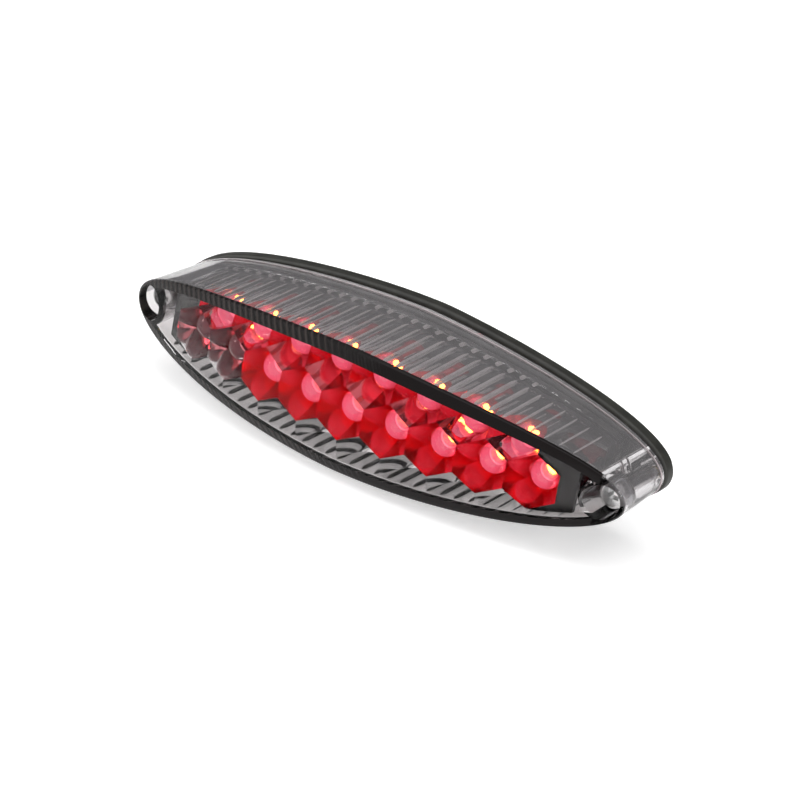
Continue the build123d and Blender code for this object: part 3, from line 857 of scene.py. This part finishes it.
def make_reflector():
    """The honeycomb of plated cups, with painted red LED light on the cups round the LEDs that shine and
    plain plating elsewhere.
    """
    limit = reflector_outline(REFLECTOR_INSET)
    points, faces, slots = [], [], []
    sides = {}

    def cell(cx, cz, led, lit=0):
        """One cup with its middle at (cx, cz). led is the place of its light source, or None. lit 1 gives the
        cup the plating with painted red light.
        """
        shape = clip_by_outline(hexagon(cx, cz), limit)
        if len(shape) < 3:
            return
        border = subdivide(shape)
        if led is None:
            ox = sum(p[0] for p in border) / len(border)
            oz = sum(p[1] for p in border) / len(border)
        else:
            ox, oz = led
        count = len(border)
        steps = 12
        front = len(points)
        rows_front, rows_rear = [], []
        for step in range(steps + 1):
            for bx, bz in border:
                reach = math.hypot(bx - ox, bz - oz)
                start = 0.0 if led is None else min(LED_HOLE_RADIUS / reach, 0.93)
                t = start + (1 - start) * (step / steps) ** 0.8
                x = ox + (bx - ox) * t
                z = oz + (bz - oz) * t
                # share of the way to the unclipped side of the cell
                full = hex_share(ox, oz, bx, bz, cx, cz)
                flat = t / full
                around = math.hypot(x - ox, z - oz) / CUP_REACH
                mix = flat * flat * (3 - 2 * flat)
                level = min(1.0, around * (1 - mix) + flat * mix)
                rise = level**CUP_POWER
                mouth = front_depth(x, z, MOUTH_SETBACK)
                depth = mouth - CUP_DEPTH * (1 - rise)
                rows_front.append((x, -depth, z))
                rows_rear.append((x, -(mouth - CUP_DEPTH - CUP_WALL), z))
        points.extend(rows_front)
        rear = len(points)
        points.extend(rows_rear)
        for quad in ring_faces(steps + 1, count):
            faces.append(tuple(front + k for k in quad))
            slots.append(lit)
            faces.append(tuple(rear + k for k in reversed(quad)))
            slots.append(0)
        if led is not None:
            for i in range(count):
                j = (i + 1) % count
                faces.append((front + i, front + j, rear + j, rear + i))
                slots.append(0)
        outer = steps * count
        for i in range(count):
            j = (i + 1) % count
            a, b = border[i], border[j]
            key = (round((a[0] + b[0]) * 500), round((a[1] + b[1]) * 500))
            sides.setdefault(key, []).append((front + outer + i, front + outer + j, rear + outer + j,
                                              rear + outer + i))

    def hex_share(ox, oz, bx, bz, cx, cz):
        """How many times further than the border point the unclipped side lies from the middle."""
        low, high = 1.0, 1.0
        while hex_norm(ox + (bx - ox) * high - cx, oz + (bz - oz) * high - cz) < 1.0 and high < 6:
            high *= 1.3
        if high == 1.0:
            return 1.0
        for _ in range(24):
            middle = (low + high) / 2
            if hex_norm(ox + (bx - ox) * middle - cx, oz + (bz - oz) * middle - cz) < 1.0:
                low = middle
            else:
                high = middle
        return max(1.0, low)

    def led_place(name):
        low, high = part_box(name)
        return (low.x + high.x) / 2 / MM, (low.z + high.z) / 2 / MM

    for i in range(9):
        name = f"led_middle_{i + 1}"
        cell(CELL_PITCH * (i - 4), MIDDLE_ROW_Z, led_place(name), 0 if name in DIM_LEDS else 1)
    for i in range(8):
        cell(CELL_PITCH * (i - 3.5), MIDDLE_ROW_Z + ROW_PITCH, led_place(f"led_top_{i + 1}"), 1)
        cell(CELL_PITCH * (i - 3.5), MIDDLE_ROW_Z - ROW_PITCH, None)
    for quads in sides.values():
        if len(quads) == 1:
            faces.append(quads[0])
            slots.append(0)
    reflector = new_object("reflector_honeycomb", points, faces, 30.0, slots)
    reflector.data.materials.append(plating)
    reflector.data.materials.append(plating_painted_red_light)
    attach(reflector, body_of_node["reflector"])
    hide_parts("reflector")


def make_skirt():
    """The wall that carries the honeycomb on the board."""
    ring_out = reflector_outline(REFLECTOR_INSET + 0.02)
    ring_in = reflector_outline(REFLECTOR_INSET + 0.02 + SKIRT_WALL)
    skirt_points = []
    count = len(ring_out)
    for ring in (ring_out, ring_in):
        for x, z in ring:
            skirt_points.append((x, -SKIRT_BACK, z))
        for x, z in ring:
            skirt_points.append((x, -(front_depth(x, z, MOUTH_SETBACK) - CUP_DEPTH - SKIRT_OVERLAP), z))
    quads = []
    for i in range(count):
        j = (i + 1) % count
        quads.append((i, j, count + j, count + i))
        quads.append((2 * count + i, 3 * count + i, 3 * count + j, 2 * count + j))
        quads.append((i, 2 * count + i, 2 * count + j, j))
        quads.append((count + i, count + j, 3 * count + j, 3 * count + i))
    skirt = new_object("reflector_skirt", skirt_points, quads, 30.0)
    skirt.data.materials.append(skirt_grey)
    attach(skirt, body_of_node["reflector"])
    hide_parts("reflector")


def make_shelves():
    """A flat dark shelf between the outermost cups and each end of the reflector."""
    half, corner, flank = CELL_PITCH / 2, CELL_PITCH / math.sqrt(3), 4 * CELL_PITCH
    end = REFLECTOR_HALF_LENGTH
    shape = [(flank, -10.0), (end, -10.0), (end, 10.0), (flank, 10.0), (flank, MIDDLE_ROW_Z + corner),
             (flank + half, MIDDLE_ROW_Z + corner / 2), (flank + half, MIDDLE_ROW_Z - corner / 2),
             (flank, MIDDLE_ROW_Z - corner)]
    shape = clip_by_outline(shape, reflector_outline(REFLECTOR_INSET))
    for side, name in ((-1, "reflector_shelf_left"), (1, "reflector_shelf_right")):
        shelf_points = []
        for behind in (SHELF_DROP, SHELF_DROP + SHELF_THICKNESS):
            shelf_points += [(side * x, -(front_depth(x, z, MOUTH_SETBACK) - behind), z) for x, z in shape]
        count = len(shape)
        quads = [(i, (i + 1) % count, count + (i + 1) % count, count + i) for i in range(count)]
        quads += [tuple(range(count)), tuple(range(2 * count - 1, count - 1, -1))]
        shelf = new_object(name, shelf_points, quads)
        shelf.data.materials.append(shelf_dark)
        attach(shelf, body_of_node["reflector"])
        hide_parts("reflector")


# ---- LEDs ----
def dome_profile():
    """Radius and height pairs of the epoxy body: flange, straight side, then the dome."""
    profile = [(0.0, 0.0), (2.75, 0.0), (2.9, 0.12), (2.9, 0.88), (2.78, 1.0), (2.5, 1.0), (2.5, 1.3)]
    shoulder = LED_HEIGHT - LED_RADIUS
    profile += [(2.5, shoulder * 0.5), (2.49, shoulder)]
    for step in range(1, 15):
        angle = math.pi / 2 * step / 14
        profile.append((LED_RADIUS * math.cos(angle), shoulder + LED_RADIUS * math.sin(angle)))
    return profile


def box_mesh(name, low, high, bevel=0.05):
    """A small block with bevelled edges, along the axes."""
    made = bmesh.new()
    bmesh.ops.create_cube(made, size=1.0)
    for vertex in made.verts:
        for k in range(3):
            vertex.co[k] = (low[k] if vertex.co[k] < 0 else high[k]) * MM
    edges = list(made.edges)
    bmesh.ops.bevel(made, geom=edges, offset=bevel * MM, segments=2, affect="EDGES", clamp_overlap=True)
    mesh = bpy.data.meshes.new(name)
    made.to_mesh(mesh)
    made.free()
    return object_of(name, mesh)


def tube(name, path, radius, sides=10):
    """A round wire along a path of points."""
    points = []
    for k, p in enumerate(path):
        before = Vector(path[max(k - 1, 0)])
        after = Vector(path[min(k + 1, len(path) - 1)])
        along = (after - before).normalized()
        side = along.cross(Vector((0.31, 0.2, 0.93))).normalized()
        rise = side.cross(along)
        for i in range(sides):
            angle = 2 * math.pi * i / sides
            points.append(tuple(Vector(p) + radius * (math.cos(angle) * side + math.sin(angle) * rise)))
    faces = ring_faces(len(path), sides)
    faces.append(tuple(range(sides - 1, -1, -1)))
    faces.append(tuple((len(path) - 1) * sides + i for i in range(sides)))
    return new_object(name, points, faces)


def painted(thing, paint):
    thing.data.materials.clear()
    thing.data.materials.append(paint)
    return thing


def led_mesh(body_paint, die_paint):
    """One LED with its back at the origin, facing -Y: epoxy, frame with cup, die and bond wire."""
    pieces = [painted(revolve("epoxy_body", dome_profile(), (0, 0, 0), 56), body_paint)]
    cup_top = 5.4
    post = painted(box_mesh("post", (-1.05, -4.5, -0.25), (0.0, -0.3, 0.25)), lead_metal)
    anvil = painted(box_mesh("anvil", (-1.5, -4.6, -0.25), (-0.1, -4.1, 0.25)), lead_metal)
    other = painted(box_mesh("other", (0.85, -5.0, -0.25), (1.4, -0.3, 0.25)), lead_metal)
    dish = [(0.0, 4.45), (0.55, 4.45), (0.95, cup_top), (0.8, cup_top), (0.38, 4.8), (0.0, 4.8)]
    cup = revolve("cup", dish, (-0.1, 0, 0), 28)
    die = box_mesh("die", (-0.36, -5.06, -0.26), (0.16, -4.8, 0.26), 0.02)
    loop = []
    for step in range(13):
        t = step / 12
        loop.append((-0.1 + 1.2 * t, -(5.05 + 1.1 * math.sin(math.pi * t) * (1 - 0.25 * t)), 0.0))
    wire = painted(tube("bond", loop, 0.035, 8), lead_metal)
    pieces += [post, anvil, other, painted(cup, lead_metal), painted(die, die_paint), wire]
    return join("led", pieces)


def make_leds():
    meshes = []
    for body_paint, die_paint in ((epoxy, die_glow), (epoxy_dim, die_dim)):
        pattern = led_mesh(body_paint, die_paint)
        meshes.append(pattern.data)
        bpy.data.objects.remove(pattern)
    for name in sorted(frame["nodes"]):
        if not (name.startswith("led_middle") or name.startswith("led_top")):
            continue
        low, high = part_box(name)
        dim = name in DIM_LEDS
        thing = bpy.data.objects.new(name + "_lamp", meshes[1 if dim else 0])
        bpy.context.scene.collection.objects.link(thing)
        thing.location = ((low.x + high.x) / 2, high.y, (low.z + high.z) / 2)
        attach(thing, body_of_node[name])
        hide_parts(name)


def make_studs():
    """The two studs with a cut metric thread, and a plain disc and neck inside the housing."""
    pitch, crest, root = 0.8, 2.49, 2.03
    disc, neck, hub = 3.59, 2.19, 0.02
    end_gap = 0.02
    sides, per_turn = 48, 10
    for name in ("mounting_stud_left", "mounting_stud_right"):
        low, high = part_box(name)
        x, z = (low.x + high.x) / 2 / MM, (low.z + high.z) / 2 / MM
        front, end = -low.y / MM, -high.y / MM
        rings = [(hub, front - 0.01), (disc, front - 0.01), (disc, STUD_DISC_BACK),
                 (neck, STUD_DISC_BACK), (neck, 0.0)]
        levels = int(-end / pitch * per_turn)
        points = []
        for radius, depth in rings:
            for i in range(sides):
                angle = 2 * math.pi * i / sides
                points.append((x + radius * math.cos(angle), -depth, z + radius * math.sin(angle)))
        for level in range(levels + 1):
            depth = (end + end_gap) * level / levels
            lead_in = min(1.0, (level + 1) / 4, (levels - level) / 8)
            for i in range(sides):
                angle = 2 * math.pi * i / sides
                share = (depth / pitch + i / sides) % 1.0
                ridge = min(1.0, max(0.0, (1 - abs(2 * share - 1)) * 1.25 - 0.06))
                radius = root + (crest - root) * ridge * lead_in
                points.append((x + radius * math.cos(angle), -depth, z + radius * math.sin(angle)))
        for i in range(sides):
            angle = 2 * math.pi * i / sides
            points.append((x + hub * math.cos(angle), -(end + end_gap), z + hub * math.sin(angle)))
        rows = len(points) // sides
        faces = ring_faces(rows, sides)
        faces.append(tuple(range(sides)))
        faces.append(tuple((rows - 1) * sides + i for i in range(sides - 1, -1, -1)))
        stud = new_object(name + "_thread", points, faces, 30.0)
        stud.data.materials.append(zinc)
        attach(stud, body_of_node[name])
        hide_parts(name)


make_lens()
make_ribs()
make_bead()
make_reflector()
make_skirt()
make_shelves()
make_leds()
make_studs()

# ---- CAD nodes that stay, with better materials ----
looks = {
    "base_housing": housing_plastic, "mounting_pad": foam, "lens_seal": rubber, "circuit_board": board_black,
    "led_leads_middle": lead_metal, "led_leads_top": lead_metal, "tail_diode": diode_black,
    "brake_diode": diode_black, "wire_terminals": solder, "cable_grommet": rubber,
    "mounting_stud_left": zinc, "mounting_stud_right": zinc, "screw_inserts": brass,
    "lens_washer_left": zinc, "lens_washer_right": zinc, "lens_screw_left": steel, "lens_screw_right": steel,
    "board_screws": steel, "reflector_screws": steel,
}
for name, thing in frame["nodes"].items():
    paint = looks.get(name, beige if name.startswith("resistor") else None)
    if paint is None:
        continue
    for place in thing.material_slots:
        place.material = paint
